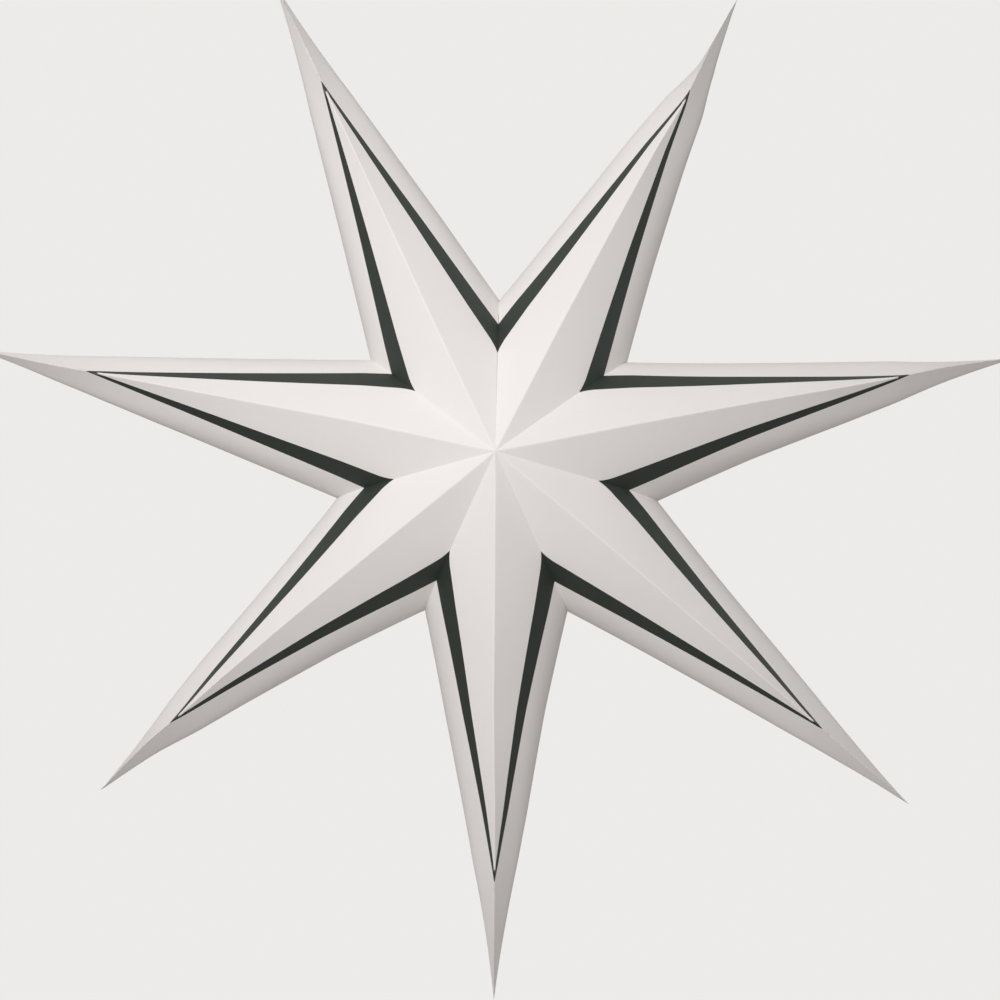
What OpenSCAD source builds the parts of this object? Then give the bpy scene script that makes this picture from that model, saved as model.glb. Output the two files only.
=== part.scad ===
// Paper advent star: seven folded paper points, glued side by side round one axis.
// It is modelled as it hangs: +Z is up and the printed front faces -Y. The origin
// lies on the axis of the star, halfway between its front and its back.

/* [Star] */
// Distance from the axis to the tip of each point
tip_radius = 306; // [240:1:380]
// Distance from the axis to the notches between the points
notch_radius = 93.5; // [80:0.5:110]
// Distance from the middle of the star to its front centre, and to its back centre
half_depth = 66; // [56:1:76]
// Share of its width that a point loses at the tip, where it stays folded
tip_pinch = 0.4; // [0:0.05:0.5]
// Length of the pinched part of a tip
pinch_length = 80; // [40:5:80]

/* [Paper] */
// Thickness of the paper
paper = 0.5; // [0.4:0.05:0.8]
// Width of the glue flaps inside the seams
flap_width = 10; // [8:0.5:14]
// Distance from the axis to the start of a glue flap
flap_start = 16; // [14:1:24]
// Distance from the axis to the end of a glue flap, short of the notch
flap_end = 76; // [68:1:79]
// Length of the slanted end of a flap
flap_taper = 7; // [4:0.5:12]
// Gap between the two flaps of a seam, which the glue fills
seam_glue = 0.1; // [0.05:0.05:0.3]
// Width at its inner end of the lap that closes each point along its back ridge
lap_width = 8; // [6:0.5:9]
// Distance from the axis to the inner end of the lap
lap_start = 30; // [20:1:50]
// Distance from the axis to the outer end of the lap
lap_end = 225; // [180:1:225]

/* [Printed line] */
// Distance from the axis to the printed line where it crosses the front ridge
line_tip = 234.5; // [190:0.5:245]
// Width of the printed line along the ridge
line_tip_width = 6; // [2:0.5:8]
// Distance from the axis to the inner edge of the line at a seam
line_inner = 61.5; // [45:0.5:66]
// Distance from the axis to the outer edge of the line at a seam
line_outer = 77; // [67:0.5:80]
// How far its inner edge is drawn out towards the axis where it meets a seam
line_draw = 2; // [0:0.5:4]
// Distance from the seam over which it is drawn out
draw_reach = 5; // [3:0.5:8]
// Thickness of the ink, shown thicker than it is
ink = 0.1; // [0.05:0.05:0.3]

/* [Cord opening] */
// Radius of the round opening that the cord hangs in
opening_radius = 6; // [4:0.5:8]
// Distance of the opening behind the middle of the star
opening_back = 9; // [8:0.5:11]

/* [Closing clips] */
// Length of a clip along the seam
clip_length = 14; // [8:1:20]
// Thickness of a clip's wall
clip_wall = 1; // [0.6:0.1:1.6]
// How far a clip reaches over the flaps
clip_grip = 6.5; // [4:0.5:7.5]
// Gap between the edge of the flaps and the back of a clip
clip_gap = 0.2; // [0:0.1:0.6]
// Distance from the axis to the middle of a clip
clip_place = 42; // [34:1:46]

/* [Hidden] */

paper_white = "#efece8";
ink_green = "#2e3a33";
clip_clear = "#d9dcdd";

// A point is drawn with its ridge along +Z and its seams at this angle to both sides
point_count = 7;
seam_angle = 180 / point_count;

// One side of a point in the middle plane, from the tip to the notch
notch_x = notch_radius * sin(seam_angle);
notch_z = notch_radius * cos(seam_angle);
side_angle = atan2(notch_x, tip_radius - notch_z);
side_length = norm([notch_x, tip_radius - notch_z]);
along_side = [sin(side_angle), 0, -cos(side_angle)];
inward = [-cos(side_angle), 0, -sin(side_angle)];

// Half a point is one sheet with no crease at its side, so it bends like a bow from the
// front ridge round to the back ridge. Every straight line through the tip stays straight.
// The depth at a place is the root of its distance from the side times its distance from
// the tip along the side, which is zero at the side and straight along the ridge
ridge_slope = half_depth / (tip_radius * cos(side_angle));
bow = ridge_slope / sqrt(tan(side_angle));
tip = [0, 0, tip_radius];

function depth_at(x, z) =
    let (from_tip = [x, 0, z] - tip)
    bow * sqrt(max(0, from_tip * inward) * max(0, from_tip * along_side));
function front_at(x, z) = [x, -depth_at(x, z), z];

// How fast the face falls away sideways from the ridge, and its distance from the
// origin there. Scaling about the origin moves the sheet in by its own thickness, and
// keeps every edge in its own seam plane
face_fall = bow / 2 * (cos(side_angle) / sqrt(tan(side_angle))
    - sin(side_angle) * sqrt(tan(side_angle)));
face_distance = half_depth / norm([1, half_depth / tip_radius, face_fall]);
inner_face = 1 - paper / face_distance;
in_paper = 1 - 0.6 * paper / face_distance;
under_lap = 1 - 2 * paper / face_distance;
over_ink = 1 + ink / face_distance;

// Places on the ridge and on the seam of the right half, in the middle plane. The left
// half is the mirror image
function on_ridge(z) = [0, z];
function on_seam(reach) = reach * [sin(seam_angle), cos(seam_angle)];
function seam_depth(reach) = depth_at(on_seam(reach)[0], on_seam(reach)[1]);

// Rows that run from the ridge to the seam, each as [ridge end, seam end, draw]
between_steps = [0.2, 0.4, 0.6, 0.8];
side_steps = [0.25, 0.5, 0.75];
edge_reach = notch_radius - line_outer;
front_rows = concat(
    [[on_ridge(0), on_seam(0), 0]],
    [for (k = between_steps) [on_ridge(k * line_tip), on_seam(k * line_inner), 0]],
    [[on_ridge(line_tip), on_seam(line_inner), line_draw]],
    [[on_ridge(line_tip + line_tip_width / 2), on_seam((line_inner + line_outer) / 2), 0]],
    [[on_ridge(line_tip + line_tip_width), on_seam(line_outer), 0]],
    [for (k = side_steps)
        [on_ridge(tip_radius), on_seam(notch_radius - edge_reach * pow(1 - k, 2)), 0]]
);
side_row = [on_ridge(tip_radius), on_seam(notch_radius), 0];
front_count = len(front_rows);
line_row = len(between_steps) + 1;
line_span = 2;
tip_row = line_row + line_span + 1;
last_row = 2 * front_count;

// Row by number: the front rows, the side and then the same rows again on the back
function row_of(i) = i < front_count
    ? front_rows[i]
    : (i == front_count ? side_row : front_rows[last_row - i]);
function facing(i) = i <= front_count ? 1 : -1;
function draw_of(i) = i < front_count ? row_of(i)[2] : 0;

// Places along a row: shares of its length from the ridge, then distances from the seam
ridge_shares = [0, 0.08, 0.2, 0.45];
seam_shares = [1, 0.5, 0.25, 0];
soft_edge = 2.4 * draw_reach;
half_columns = len(ridge_shares) + len(seam_shares) - 1;
last_column = 2 * half_columns;

function edge_share(length) = length == 0 ? 0.3 : min(soft_edge / length, 0.3);
function place(length, k) = k < len(ridge_shares)
    ? ridge_shares[k] * (1 - edge_share(length))
    : 1 - seam_shares[k - len(ridge_shares)] * edge_share(length);

// The tip is pinched: narrower than the bow makes it, and deeper
function pinch(z) = pow(max(0, 1 - (tip_radius - z) / pinch_length), 2);
function pinched(p) = [
    p[0] * (1 - tip_pinch * pinch(p[2])),
    p[1] * (1 + tip_pinch * pinch(p[2])),
    p[2]
];

function row_point(i, k) =
    let (row = row_of(i))
    let (length = norm(row[1] - row[0]))
    let (share = place(length, k))
    let (gap = (1 - share) * length)
    let (draw = draw_of(i) * exp(-2 * gap / draw_reach))
    let (flat = row[0] + share * (row[1] - row[0]) - on_seam(draw))
    let (p = pinched(front_at(flat[0], flat[1])))
    [p[0], facing(i) * p[1], p[2]];

function sheet_point(i, column) = column < half_columns
    ? let (p = row_point(i, half_columns - column)) [-p[0], p[1], p[2]]
    : row_point(i, column - half_columns);

function grid(first, last, size) = [for (i = [first:last], j = [0:last_column])
    size * sheet_point(i, j)];

// Number of a grid point. The apex rows and the tip are one point each
function at_tip(i, j) = j == half_columns && i > tip_row && i <= last_row - tip_row;
function spot(i, j) = i == 0 || i == last_row
    ? i * (last_column + 1)
    : (at_tip(i, j) ? tip_row : i) * (last_column + 1) + j;

// Two triangles of a grid square, as seen from outside, without any that has no area
function whole(t) = t[0] != t[1] && t[1] != t[2] && t[2] != t[0];
function square(a, b, c, d, even) = even
    ? [for (t = [[a, b, c], [a, c, d]]) if (whole(t)) t]
    : [for (t = [[a, b, d], [b, c, d]]) if (whole(t)) t];
function flipped(faces) = [for (f = faces) [f[2], f[1], f[0]]];
function shifted(faces, n) = [for (f = faces) [f[0] + n, f[1] + n, f[2] + n]];

outer_skin = [for (i = [0:last_row - 1], j = [0:last_column - 1])
    each square(spot(i, j), spot(i + 1, j), spot(i + 1, j + 1), spot(i, j + 1),
        j < half_columns)];
grid_size = (last_row + 1) * (last_column + 1);
edge_faces = [for (i = [0:last_row - 1], j = [0, last_column])
    let (a = spot(i, j))
    let (b = spot(i + 1, j))
    let (pair = square(a, b, b + grid_size, a + grid_size, true))
    each (j == 0 ? flipped(pair) : pair)];

// One folded sheet: two front faces, two soft side bends and two back faces
module folded_sheet() {
    polyhedron(
        points = concat(grid(0, last_row, 1), grid(0, last_row, inner_face)),
        faces = concat(outer_skin, shifted(flipped(outer_skin), grid_size), edge_faces),
        convexity = 6
    );
}

// Outline of the flap on the front seam, in the seam plane, as [depth, reach]. Its free
// edge is a smaller copy of the seam
function seam_place(reach) = [-seam_depth(reach), reach];
seam_run = seam_place(flap_end) - seam_place(flap_start);
seam_distance = abs(cross(seam_place(flap_start), seam_run)) / norm(seam_run);
free_edge = 1 - flap_width / seam_distance;
flap_back = paper + seam_glue / 2;
flap_steps = 8;
function flap_edge(first, last, size) = [for (k = [0:flap_steps])
    size * seam_place(first + k / flap_steps * (last - first))];
flap_outline = concat(
    flap_edge(flap_start, flap_end, in_paper),
    flap_edge(flap_end - flap_taper, flap_start + flap_taper, free_edge)
);

module flap() {
    rotate([0, seam_angle, 0])
        translate([-flap_back, 0, 0])
            rotate([90, 0, 90])
                linear_extrude(paper)
                    polygon(flap_outline);
}

module flaps() {
    for (side = [0, 1], face = [0, 1])
        mirror([side, 0, 0])
            mirror([0, face, 0])
                flap();
}

// Lap of one edge under the other, along the inside of the back ridge. It is flat, and
// narrows towards the tip as the bend of the sheet grows
function lap_at(x, z) = [x, half_depth * (1 - z / tip_radius) - face_fall * x, z];
function lap_edge(z) = lap_at(lap_width * (tip_radius - z) / (tip_radius - lap_start), z);
lap_outline = [
    lap_at(0, lap_start),
    lap_at(0, lap_end),
    lap_edge(lap_end - flap_taper),
    lap_edge(lap_start + flap_taper)
];

module back_lap() {
    polyhedron(
        points = concat(in_paper * lap_outline, under_lap * lap_outline),
        faces = [
            [3, 2, 1, 0],
            [4, 5, 6, 7],
            [0, 1, 5, 4],
            [1, 2, 6, 5],
            [2, 3, 7, 6],
            [3, 0, 4, 7]
        ]
    );
}

// A whole point, turned by its number of seam angles from straight up
module star_point(turns) {
    color(paper_white)
        rotate([0, turns * seam_angle, 0])
            union() {
                folded_sheet();
                flaps();
                back_lap();
            }
}

// Round opening in the back of the top seam. Each top point has half of it
opening_foot = 40;
module cord_opening() {
    translate([0, opening_back, opening_foot])
        cylinder(h = notch_radius, r = opening_radius, $fn = 64);
}

module top_point(turns) {
    color(paper_white)
        difference() {
            star_point(turns);
            cord_opening();
        }
}

// Printed line of one point, laid on the front of its sheet
line_grid = last_column + 1;
line_count = (line_span + 1) * line_grid;
line_top = [for (i = [0:line_span - 1], j = [0:last_column - 1])
    let (a = i * line_grid + j)
    each square(a, a + line_grid, a + line_grid + 1, a + 1, j < half_columns)];
line_sides = [for (j = [0:last_column - 1], outer = [0, 1])
    let (a = j + outer * line_span * line_grid)
    let (pair = square(a, a + 1, a + 1 + line_count, a + line_count, true))
    each (outer == 1 ? flipped(pair) : pair)];
line_ends = [for (i = [0:line_span - 1], j = [0, last_column])
    let (a = i * line_grid + j)
    let (pair = square(a, a + line_grid, a + line_grid + line_count, a + line_count, true))
    each (j == 0 ? flipped(pair) : pair)];

module printed_line(turns) {
    color(ink_green)
        rotate([0, turns * seam_angle, 0])
            polyhedron(
                points = concat(
                    grid(line_row, line_row + line_span, over_ink),
                    grid(line_row, line_row + line_span, 1)
                ),
                faces = concat(
                    line_top,
                    shifted(flipped(line_top), line_count),
                    line_sides,
                    line_ends
                ),
                convexity = 4
            );
}

// Clip pushed over the two flaps of the top seam, which is not glued. It lies along the
// free edge of the flaps
clip_depth = clip_gap + clip_grip;
clip_foot = free_edge * seam_place(clip_place - clip_length / 2);
clip_head = free_edge * seam_place(clip_place + clip_length / 2);
clip_middle = (clip_foot + clip_head) / 2;
clip_lean = atan2(clip_head[0] - clip_foot[0], clip_head[1] - clip_foot[1]);
module clip() {
    translate([0, clip_middle[0], clip_middle[1]])
        rotate([-clip_lean, 0, 0])
            translate([0, -clip_grip, -clip_length / 2])
                linear_extrude(clip_length)
                    difference() {
                        translate([-flap_back - clip_wall, 0])
                            square([2 * (flap_back + clip_wall), clip_depth + clip_wall]);
                        translate([-flap_back, -clip_wall])
                            square([2 * flap_back, clip_depth + clip_wall]);
                    }
}

module closing_clips() {
    color(clip_clear)
        for (face = [0, 1])
            mirror([0, face, 0])
                clip();
}

top_point(1);  // point_top_right
star_point(3);  // point_right
star_point(5);  // point_lower_right
star_point(7);  // point_bottom
star_point(9);  // point_lower_left
star_point(11);  // point_left
top_point(13);  // point_top_left
printed_line(1);  // line_top_right
printed_line(3);  // line_right
printed_line(5);  // line_lower_right
printed_line(7);  // line_bottom
printed_line(9);  // line_lower_left
printed_line(11);  // line_left
printed_line(13);  // line_top_left
closing_clips();
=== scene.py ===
# Paper advent star: seven folded points of white paper with a dark green printed line,
# glued side by side round one axis and hung by its lamp cord from the top seam.
import math

import bpy
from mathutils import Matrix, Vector


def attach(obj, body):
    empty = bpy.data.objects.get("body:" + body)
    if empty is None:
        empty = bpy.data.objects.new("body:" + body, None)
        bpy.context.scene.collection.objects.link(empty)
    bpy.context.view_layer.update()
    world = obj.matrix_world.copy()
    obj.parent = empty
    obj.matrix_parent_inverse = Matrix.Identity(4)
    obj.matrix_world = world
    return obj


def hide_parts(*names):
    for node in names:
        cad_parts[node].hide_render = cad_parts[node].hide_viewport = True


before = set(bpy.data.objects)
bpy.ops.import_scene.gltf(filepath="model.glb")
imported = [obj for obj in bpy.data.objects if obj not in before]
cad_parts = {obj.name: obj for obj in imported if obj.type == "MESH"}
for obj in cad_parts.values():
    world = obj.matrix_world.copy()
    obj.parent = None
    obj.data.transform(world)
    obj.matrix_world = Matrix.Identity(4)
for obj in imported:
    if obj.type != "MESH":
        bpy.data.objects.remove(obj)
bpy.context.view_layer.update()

# White paper: matt uncoated card of about 250 g/m2. Its fibres lie in faint clouds, and
# its surface has a fine tooth that a lamp from the side just shows.
TONE_CLEAN = (0.872, 0.850, 0.818, 1)
TONE_CLOUD = (0.850, 0.829, 0.800, 1)
TOOTH_HEIGHT = 0.00004


class Wire:
    """One socket of a node tree, with Python's operators as its Math nodes."""

    def __init__(self, tree, socket):
        self.tree = tree
        self.socket = socket

    def node(self, kind, settings, inputs, output=0):
        made = self.tree.nodes.new(kind)
        for name, value in settings.items():
            setattr(made, name, value)
        for name, value in inputs.items():
            if isinstance(value, Wire):
                self.tree.links.new(value.socket, made.inputs[name])
            else:
                made.inputs[name].default_value = value
        return Wire(self.tree, made.outputs[output])

    def maths(self, operation, first, second):
        return self.node("ShaderNodeMath", {"operation": operation}, {0: first, 1: second})

    def __add__(self, other):
        return self.maths("ADD", self, other)

    def __radd__(self, other):
        return self.maths("ADD", other, self)

    def __sub__(self, other):
        return self.maths("SUBTRACT", self, other)

    def __rsub__(self, other):
        return self.maths("SUBTRACT", other, self)

    def __mul__(self, other):
        return self.maths("MULTIPLY", self, other)

    def __rmul__(self, other):
        return self.maths("MULTIPLY", other, self)


def start_material(name):
    """A new material with its shader, and the place on the piece as a wire."""
    material = bpy.data.materials.new(name)
    material.use_nodes = True
    tree = material.node_tree
    shader = tree.nodes["Principled BSDF"]
    place = tree.nodes.new("ShaderNodeTexCoord").outputs["Object"]
    return material, shader, Wire(tree, place)


def connect(shader, wires):
    """Links each wire to the socket of the shader that it is named for."""
    for name, wire in wires.items():
        wire.tree.links.new(wire.socket, shader.inputs[name])


def speckle(place, size, detail=2.0, roughness=0.5):
    """Noise of the given size in metres, from 0 to 1."""
    return place.node(
        "ShaderNodeTexNoise", {"noise_dimensions": "3D"},
        {"Vector": place, "Scale": 1 / size, "Detail": detail, "Roughness": roughness})


def blend_colours(place, share, first, second):
    return place.node(
        "ShaderNodeMix", {"data_type": "RGBA"},
        {0: share, 6: first, 7: second}, 2)


def paper_tooth(height, strength):
    return height.node(
        "ShaderNodeBump", {},
        {"Strength": strength, "Distance": TOOTH_HEIGHT, "Height": height})


white_paper, shader, place = start_material("white_paper")
fibre = speckle(place, 0.0007, 3.0, 0.6)
cloud = speckle(place, 0.009, 2.0, 0.55)
tone = blend_colours(place, cloud * 0.7 + fibre * 0.3, TONE_CLOUD, TONE_CLEAN)
tooth = paper_tooth(fibre + cloud * 0.5, 0.16)
connect(shader, {"Base Color": tone, "Roughness": 0.78 + fibre * 0.14, "Normal": tooth})
shader.inputs["Specular IOR Level"].default_value = 0.3

# One folded point, made once. Half of it is one sheet of paper that bends like a bow from
# the front ridge to the back ridge, which is a piece of a squashed cone with its tip at
# the tip of the point. It stands along +Z here, with its front to -Y.
TIP = 0.306
NOTCH = 0.0935
HALF_DEPTH = 0.066
SEAM_ANGLE = math.pi / 7
SLICES = 50
FLAP_START, FLAP_END = 0.016, 0.076
LINE_TIP, LINE_TIP_WIDTH = 0.2345, 0.006
LINE_INNER, LINE_OUTER = 0.0615, 0.077

side_angle = math.atan2(
    NOTCH * math.sin(SEAM_ANGLE), TIP - NOTCH * math.cos(SEAM_ANGLE))
cone_radius = TIP / math.sin(2 * side_angle)
cone_middle = -TIP / math.tan(2 * side_angle)


def pick(mode, wanted):
    """Selects the vertices, edges or faces of the open mesh that the test wants."""
    bpy.ops.object.mode_set(mode="EDIT")
    bpy.ops.mesh.select_mode(type=mode)
    bpy.ops.mesh.select_all(action="DESELECT")
    bpy.ops.object.mode_set(mode="OBJECT")
    mesh = bpy.context.object.data
    parts = {"VERT": mesh.vertices, "EDGE": mesh.edges, "FACE": mesh.polygons}[mode]
    for part in [part for part in parts if wanted(part)]:
        part.select = True
    bpy.ops.object.mode_set(mode="EDIT")


def cut(place, normal, **clear):
    """Bisects the whole open mesh by a plane."""
    bpy.ops.mesh.select_all(action="SELECT")
    bpy.ops.mesh.bisect(plane_co=place, plane_no=normal, threshold=1e-7, **clear)


def cut_between(first, second):
    """Bisects the open mesh along a straight line of the front view."""
    along = (second[0] - first[0], second[1] - first[1])
    cut((first[0], 0, first[1]), (along[1], 0, -along[0]))


def seam_place(reach):
    """Where a seam is in the front view, as x and z, at a reach from the axis."""
    return (reach * math.sin(SEAM_ANGLE), reach * math.cos(SEAM_ANGLE))


bpy.ops.object.select_all(action="DESELECT")
bpy.ops.mesh.primitive_cone_add(
    vertices=720, radius1=cone_radius, radius2=0, depth=TIP, end_fill_type="NOTHING",
    location=(cone_middle, 0, TIP / 2))
bpy.ops.object.transform_apply(location=True)
point = bpy.context.object
point.name = "folded_point"
bpy.ops.object.mode_set(mode="EDIT")
bpy.ops.transform.resize(value=(1, HALF_DEPTH / TIP, 1), center_override=(0, 0, 0))
pick("VERT", lambda v: v.co.z > TIP / 2)
bpy.ops.transform.translate(value=(-cone_middle, 0, 0))
cut((0, 0, 0), (1, 0, 0), clear_inner=True)
cut((0, 0, 0), (math.cos(SEAM_ANGLE), 0, -math.sin(SEAM_ANGLE)), clear_outer=True)
for step in range(1, SLICES):
    cut((0, 0, TIP * step / SLICES), (0, 0, 1))
for reach in (FLAP_START, FLAP_END):
    cut((0, 0, reach * math.cos(SEAM_ANGLE)), (0, 0, 1))
cut_between((0, LINE_TIP), seam_place(LINE_INNER))
cut_between((0, LINE_TIP + LINE_TIP_WIDTH), seam_place(LINE_OUTER))

# The bend isn't even: the sheet stays nearly flat beside the ridge and turns at the side.
# Towards the stiff narrow tip it turns more sharply, which GATHER gives by height, and
# PINCH stands the ridge higher there. Each slice across the point gets its own curve.
STEPS = 60
GATHER = [(0.0, 1.6), (0.046, 2.4), (0.10, 3.0), (0.18, 4.0), (0.228, 8.0), (TIP, 12.0)]
PINCH = [(0.0, 1.0), (0.14, 1.0), (0.22, 1.12), (0.25, 1.28), (TIP, 1.55)]


def slope_curve(first, gather):
    """Width and fall of half a slice whose tilt goes from first to upright."""
    places = [(0.0, 0.0)]
    for step in range(STEPS):
        tilt = first + (math.pi / 2 - first) * ((step + 0.5) / STEPS) ** gather
        x, fall = places[-1]
        places.append((x + math.cos(tilt) / STEPS, fall + math.sin(tilt) / STEPS))
    return places


def slice_curve(gather, stand):
    """The curve whose fall suits its width, for a slice 1 wide from ridge to side."""
    low, high = 0.0, math.pi / 2
    for _ in range(40):
        first = (low + high) / 2
        places = slope_curve(first, gather)
        if places[-1][1] > places[-1][0] * stand:
            high = first
        else:
            low = first
    width, fall = places[-1]
    return [(x / width, 1 - y / fall) for x, y in places]


def read_off(places, x):
    """The height of a line through the given places, at x."""
    for (x0, y0), (x1, y1) in zip(places, places[1:]):
        if x <= x1:
            return y0 + (y1 - y0) * (x - x0) / (x1 - x0)
    return places[-1][1]


bpy.ops.object.mode_set(mode="OBJECT")
curves = {}
for vertex in point.data.vertices:
    level = round(vertex.co.z, 6)
    if level >= TIP - 1e-6:
        continue
    width = (TIP - level) * math.tan(side_angle)
    ridge = HALF_DEPTH * (1 - level / TIP) * read_off(PINCH, level)
    if level not in curves:
        curves[level] = slice_curve(read_off(GATHER, level), ridge / width)
    depth = ridge * read_off(curves[level], vertex.co.x / width)
    vertex.co.y = math.copysign(depth, vertex.co.y)

# Printed line of a point: a film of dark green ink on the front of the sheet. Its inner
# edge is drawn out towards the axis at a seam. CORNER gives that by shares of the way
# from the line's tip to the seam, each with how far it is drawn out.
INK = 0.00004
INK_DARK = (0.015, 0.022, 0.016, 1)
INK_LIGHT = (0.020, 0.028, 0.021, 1)
CORNER = ((0.962, 0.0), (0.978, 0.0004), (0.99, 0.0011), (1.0, 0.0022))


def corner_place(share, draw):
    across, out = seam_place(LINE_INNER)
    return (
        share * across - draw * math.sin(SEAM_ANGLE),
        (1 - share) * LINE_TIP + share * out - draw * math.cos(SEAM_ANGLE))


def beyond(centre, first, second):
    """How far a place lies on the tip side of a line of the front view."""
    along = (second[0] - first[0], second[1] - first[1])
    side = (abs(centre.x) - first[0]) * along[1] - (centre.z - first[1]) * along[0]
    return -side / math.hypot(*along)


def is_printed(face):
    centre = face.center
    if centre.y > 0:
        return False
    within = beyond(
        centre, (0, LINE_TIP + LINE_TIP_WIDTH), seam_place(LINE_OUTER)) < 0
    return within and any(
        beyond(centre, first, second) > 0
        for first, second in zip(inner_edge, inner_edge[1:]))


bpy.ops.object.mode_set(mode="OBJECT")
bpy.ops.object.duplicate()
line = bpy.context.object
line.name = "printed_line"
inner_edge = [(0, LINE_TIP)] + [corner_place(share, draw) for share, draw in CORNER]
bpy.ops.object.mode_set(mode="EDIT")
for first, second in zip(inner_edge[1:], inner_edge[2:]):
    cut_between(first, second)
pick("FACE", lambda f: not is_printed(f))
bpy.ops.mesh.delete(type="FACE")
bpy.ops.object.mode_set(mode="OBJECT")

green_ink, shader, place = start_material("green_ink")
fibre = speckle(place, 0.0005, 3.0, 0.6)
cloud = speckle(place, 0.004, 2.0, 0.55)
tone = blend_colours(place, cloud, INK_DARK, INK_LIGHT)
tooth = paper_tooth(fibre + cloud * 0.5, 0.3)
connect(shader, {"Base Color": tone, "Roughness": 0.40 + fibre * 0.14, "Normal": tooth})
shader.inputs["Specular IOR Level"].default_value = 0.5

# The half sheet gets its glue flaps, which turn in at the seams, and then its other half.
# Its two edges meet along the back ridge, one glued over a lap of the other. The front
# ridge is a real fold: its crest is rounded over the thickness of the paper.
PAPER = 0.0004
FLAP_KEEP = 0.8
RIDGE_START = 0.005
FOLD, FOLD_END = 0.0006, TIP - 0.003
LAP, LAP_START, LAP_END = 0.008, 0.030, 0.225
SLIT = 0.00012


def edge_ends(edge):
    mesh = bpy.context.object.data
    return [mesh.vertices[number].co for number in edge.vertices]


def on_seam(place):
    reach = math.hypot(place.x, place.z)
    flat = abs(place.x - place.z * math.tan(SEAM_ANGLE)) < 2e-6
    return flat and FLAP_START - 1e-5 < reach < FLAP_END + 1e-5


def on_front_ridge(place):
    return abs(place.x) < 1e-7 and place.y < 0 and RIDGE_START < place.z < FOLD_END


def on_back_ridge(place, x):
    return abs(place.x - x) < 1e-7 and place.y > 0 and RIDGE_START < place.z < LAP_END


def work_on(piece):
    """Makes a piece the one that operators act on."""
    bpy.ops.object.select_all(action="DESELECT")
    piece.select_set(True)
    bpy.context.view_layer.objects.active = piece


def finish_modifier(piece, kind, **settings):
    made = piece.modifiers.new(kind.lower(), kind)
    for name, value in settings.items():
        setattr(made, name, value)
    bpy.ops.object.modifier_apply(modifier=made.name)


def lap_edge():
    """Extrudes the chosen back edge once more and returns its new vertices."""
    bpy.ops.object.mode_set(mode="EDIT")
    bpy.ops.mesh.extrude_edges_move()
    bpy.ops.object.mode_set(mode="OBJECT")
    return [vertex.co for vertex in bpy.context.object.data.vertices if vertex.select]


def round_ridge():
    """Bevels the front ridge and turns all faces outwards."""
    pick("EDGE", lambda e: all(on_front_ridge(end) for end in edge_ends(e)))
    bpy.ops.mesh.bevel(offset=FOLD, segments=3, affect="EDGES")
    bpy.ops.mesh.select_all(action="SELECT")
    bpy.ops.mesh.normals_make_consistent(inside=False)
    bpy.ops.object.mode_set(mode="OBJECT")


work_on(line)
finish_modifier(line, "MIRROR", merge_threshold=1e-6)
round_ridge()
finish_modifier(line, "SOLIDIFY", thickness=INK, offset=1.0)
bpy.ops.object.shade_smooth_by_angle(angle=math.radians(30))

work_on(point)
pick("EDGE", lambda e: all(on_seam(end) for end in edge_ends(e)))
bpy.ops.mesh.extrude_edges_move()
bpy.ops.transform.resize(value=(FLAP_KEEP,) * 3, center_override=(0, 0, 0))
bpy.ops.object.mode_set(mode="OBJECT")
for vertex in point.data.vertices:
    if on_back_ridge(vertex.co, 0):
        vertex.co.x = SLIT
finish_modifier(point, "MIRROR", merge_threshold=1e-6)
pick("EDGE", lambda e: all(
    on_back_ridge(end, SLIT) and end.z > LAP_START for end in edge_ends(e)))
for place in lap_edge():
    place.x = -SLIT
    place.y -= PAPER + SLIT
for place in lap_edge():
    reach = LAP * (TIP - place.z) / (TIP - LAP_START)
    width = (TIP - place.z) * math.tan(side_angle)
    curve = curves[round(place.z, 6)]
    place.x = -reach
    place.y = (place.y + PAPER + SLIT) * read_off(curve, reach / width) - PAPER - SLIT
round_ridge()
finish_modifier(point, "SOLIDIFY", thickness=PAPER, offset=-1.0, use_even_offset=False)
bpy.ops.object.shade_smooth_by_angle(angle=math.radians(25))
point.data.materials.append(white_paper)
line.data.materials.append(green_ink)

# The seven points: folded by hand, no two come out alike. Each has its own lean at four
# heights, length, width, twist of the tip in degrees and width of the tip, all beyond
# START, where the points stop touching each other. The top seam stands slightly open.
SIDES = ["top_right", "right", "lower_right", "bottom", "lower_left", "left", "top_left"]
LEAN_AT = (0.143, 0.2, 0.257, 0.3)
OWN_FORM = {
    "top_right": ((0.0010, 0.0027, 0.0064, 0.0047), -0.0060, 0.985, -12, 0.68),
    "right": ((0.0006, 0.0021, 0.0031, 0.0041), -0.0050, 0.965, -5, 0.92),
    "lower_right": ((0.0010, 0.0017, 0.0029, 0.0037), -0.0020, 0.985, 0, 1.05),
    "bottom": ((0.0002, -0.0009, -0.0012, -0.0011), -0.0003, 0.98, 1, 1.0),
    "lower_left": ((-0.0006, -0.0020, -0.0048, -0.0078), -0.0130, 0.96, 5, 0.9),
    "left": ((-0.0017, -0.0033, -0.0048, -0.0052), -0.0020, 1.01, -1, 1.05),
    "top_left": ((0.0009, 0.0012, 0.0014, 0.0015), -0.0010, 1.02, 1, 1.0),
}
START = 0.0843
STRETCH_START = 0.2
TWIST_START, TWIST_RUN = 0.228, 0.04
NARROW = [
    (0.0, 1.0), (START, 1.0), (0.143, 0.968), (0.2, 0.935), (0.229, 0.9),
    (0.257, 0.8), (0.28, 0.71), (TIP, 0.62)]
OPEN_SEAM = {"top_right": 1, "top_left": -1}
SEAM_GAP = 0.0012
CORD_RADIUS, CORD_BACK, CORD_REACH = 0.006, 0.009, 0.08


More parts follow.
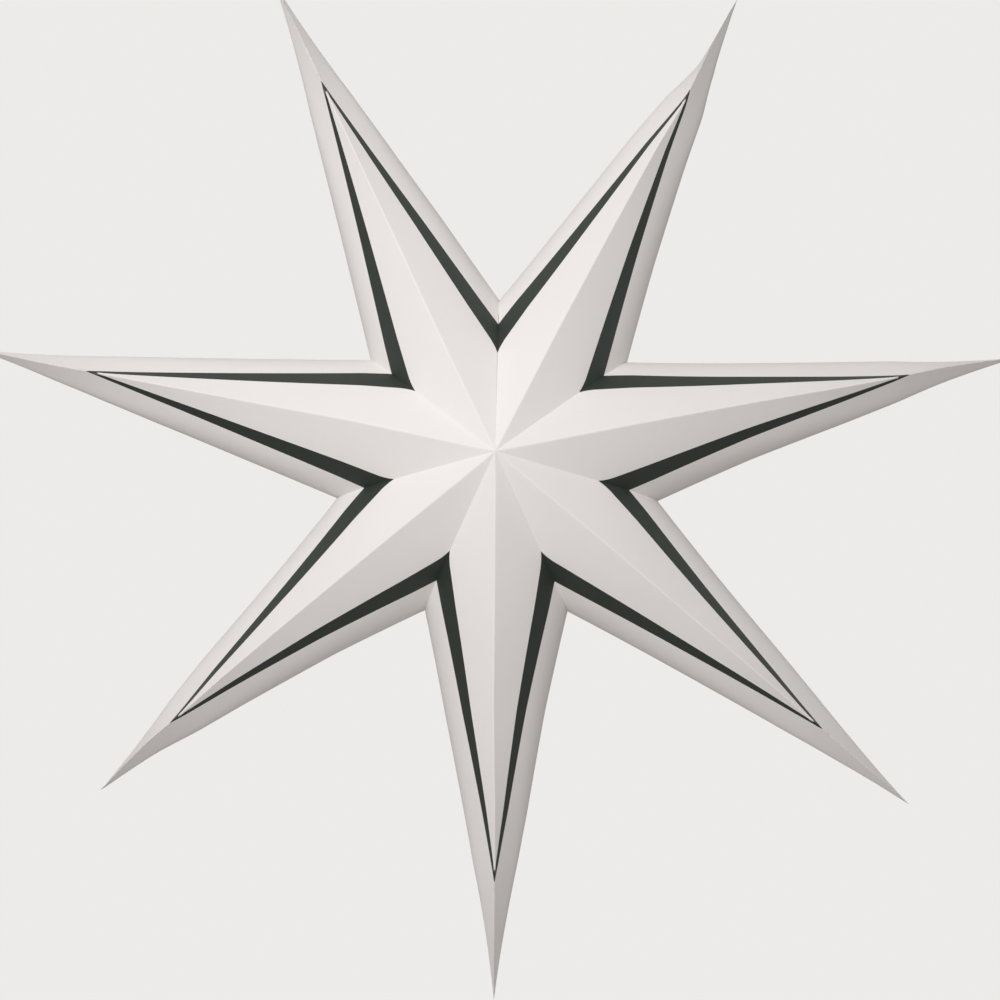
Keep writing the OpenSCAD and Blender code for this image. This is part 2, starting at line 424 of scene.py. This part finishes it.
def form(piece, side):
    """Gives a point or its printed line the form that it has on one side of the star."""
    leans, longer, wider, twist, tip_width = OWN_FORM[side]
    lean = [(0, 0), (START, 0), *zip(LEAN_AT, leans), (1, leans[-1])]
    opens = OPEN_SEAM.get(side, 0)
    for vertex in piece.data.vertices:
        x, y, z = vertex.co
        share = max(0, (z - START) / (TIP - START))
        outer = min(1, max(0, (z - TWIST_START) / TWIST_RUN))
        outer *= outer * (3 - 2 * outer)
        turn = math.atan2(x, z) / SEAM_ANGLE if z > 0.001 else 0
        near_seam = max(0, -opens * turn)
        x *= read_off(NARROW, z) * (1 + (wider - 1) * min(1, 4 * share))
        x *= 1 + (tip_width - 1) * outer
        gap = opens * SEAM_GAP * near_seam * near_seam * math.hypot(x, z)
        angle = math.radians(twist) * outer
        vertex.co = (
            x * math.cos(angle) - y * math.sin(angle) + read_off(lean, z) + gap,
            x * math.sin(angle) + y * math.cos(angle),
            z + longer * (max(0, z - STRETCH_START) / (TIP - STRETCH_START)) ** 2)


def open_for_cord(piece):
    """Cuts the round opening for the cord into the back of the top seam."""
    bpy.ops.object.select_all(action="DESELECT")
    bpy.ops.mesh.primitive_cylinder_add(
        vertices=64, radius=CORD_RADIUS, depth=0.08, location=(0, CORD_BACK, CORD_REACH))
    bpy.ops.object.transform_apply(location=True)
    punch = bpy.context.object
    work_on(piece)
    finish_modifier(piece, "BOOLEAN", operation="DIFFERENCE", solver="EXACT", object=punch)
    bpy.data.objects.remove(punch)


for number, side in enumerate(SIDES):
    for first, kind, slot in ((point, "point_", "white_paper"), (line, "line_", "green_ink")):
        work_on(first)
        bpy.ops.object.duplicate()
        piece = bpy.context.object
        piece.name = "paper_" + kind + side
        form(piece, side)
        piece.rotation_euler.y = (2 * number + 1) * SEAM_ANGLE
        bpy.ops.object.transform_apply(rotation=True)
        if first == point and side in OPEN_SEAM:
            open_for_cord(piece)
        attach(piece, "root")
        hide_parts(kind + side)
for first in (point, line):
    bpy.data.objects.remove(first)

# The two closing clips keep the form of the solids: bent strips of pale translucent
# plastic, slipped over the glue flaps of the top seam, which hold it shut.
CLIP_DARK = (0.72, 0.73, 0.74, 1)
CLIP_LIGHT = (0.79, 0.80, 0.81, 1)

clips = bpy.data.objects["closing_clips"]
clip_plastic, shader, place = start_material("clip_plastic")
haze = speckle(place, 0.0015)
tone = blend_colours(place, haze, CLIP_DARK, CLIP_LIGHT)
connect(shader, {"Base Color": tone, "Roughness": 0.28 + haze * 0.16})
clips.data.materials.clear()
clips.data.materials.append(clip_plastic)

# Studio: a plain pale floor far below the star, in a room with soft light all round that
# is dimmer on the camera's side, and one soft lamp in front, to the left and above. The
# camera sees the room in one even tone.
BACKGROUND = (0.847, 0.831, 0.815, 1)
FLOOR_TONE = (0.70, 0.69, 0.68, 1)
FLOOR_SIZE, FLOOR_LEVEL = 30, -1.0
ROOM_TONE = (1.0, 0.968, 0.962, 1)
ROOM_FRONT, ROOM_BACK, ROOM_BLEND = 0.26, 0.55, 0.35
KEY_PLACE = Vector((-0.225, -1.0, 0.30))
KEY_SIZE, KEY_ENERGY = 0.9, 9.5
KEY_TONE = (0.995, 0.98, 1.0)

bpy.ops.object.select_all(action="DESELECT")
bpy.ops.mesh.primitive_plane_add(size=FLOOR_SIZE, location=(0, 0, FLOOR_LEVEL))
floor = bpy.context.object
floor.name = "studio_floor"
bpy.ops.object.transform_apply(location=True)
studio, shader, place = start_material("studio_floor")
seen = Wire(place.tree, place.tree.nodes.new("ShaderNodeLightPath").outputs["Is Camera Ray"])
connect(shader, {"Base Color": blend_colours(seen, seen, FLOOR_TONE, BACKGROUND)})
shader.inputs["Roughness"].default_value = 0.9
floor.data.materials.append(studio)

world = bpy.data.worlds.new("studio_air")
bpy.context.scene.world = world
world.use_nodes = True
tree = world.node_tree
air = tree.nodes["Background"]
path = tree.nodes.new("ShaderNodeLightPath")
seen = Wire(tree, path.outputs["Is Camera Ray"])
glossy = Wire(tree, path.outputs["Is Glossy Ray"])
clear = Wire(tree, path.outputs["Is Transmission Ray"])
behind = seen.node(
    "ShaderNodeBackground", {}, {"Color": BACKGROUND, "Strength": 1.0})
air.inputs["Color"].default_value = ROOM_TONE
facing = seen.node("ShaderNodeTexCoord", {}, {})
direction = seen.node("ShaderNodeSeparateXYZ", {}, {"Vector": facing}, 1)
strength = direction.node(
    "ShaderNodeMapRange", {"interpolation_type": "SMOOTHSTEP"},
    {"Value": direction, "From Min": -ROOM_BLEND, "From Max": ROOM_BLEND,
     "To Min": ROOM_FRONT, "To Max": ROOM_BACK})
connect(air, {"Strength": strength})
any_ray = seen.maths("MAXIMUM", seen, seen.maths("MAXIMUM", glossy, clear))
both = seen.node(
    "ShaderNodeMixShader", {}, {0: any_ray, 1: Wire(tree, air.outputs[0]), 2: behind})
connect(tree.nodes["World Output"], {"Surface": both})

bpy.ops.object.light_add(type="AREA", location=KEY_PLACE)
key = bpy.context.object
key.name = "soft_key"
key.data.shape = "SQUARE"
key.data.size = KEY_SIZE
key.data.energy = KEY_ENERGY
key.data.color = KEY_TONE
key.visible_camera = False
key.rotation_euler = (-KEY_PLACE).to_track_quat("-Z", "Y").to_euler()

# Camera: as far off as the star's perspective in the photo shows, a little below it and
# to its right, and rolled a little. Its focal length is given in widths of its sensor.
CAMERA_PLACE = (0.113, -4.95, -0.512)
CAMERA_AIM = (0.0015, 0.0, -0.021)
CAMERA_ROLL = math.radians(0.62)
SENSOR_WIDTH, FOCAL_WIDTHS = 36, 8.737

bpy.ops.object.camera_add(location=CAMERA_PLACE)
camera = bpy.context.object
bpy.context.scene.camera = camera
bpy.context.scene.view_settings.view_transform = "Standard"
camera.data.sensor_width = SENSOR_WIDTH
camera.data.lens = FOCAL_WIDTHS * SENSOR_WIDTH
camera.data.clip_end = 100
look = Vector([aim - place for aim, place in zip(CAMERA_AIM, CAMERA_PLACE)])
camera.rotation_euler = look.to_track_quat("-Z", "Y").to_euler()
camera.rotation_euler.rotate_axis("Z", CAMERA_ROLL)
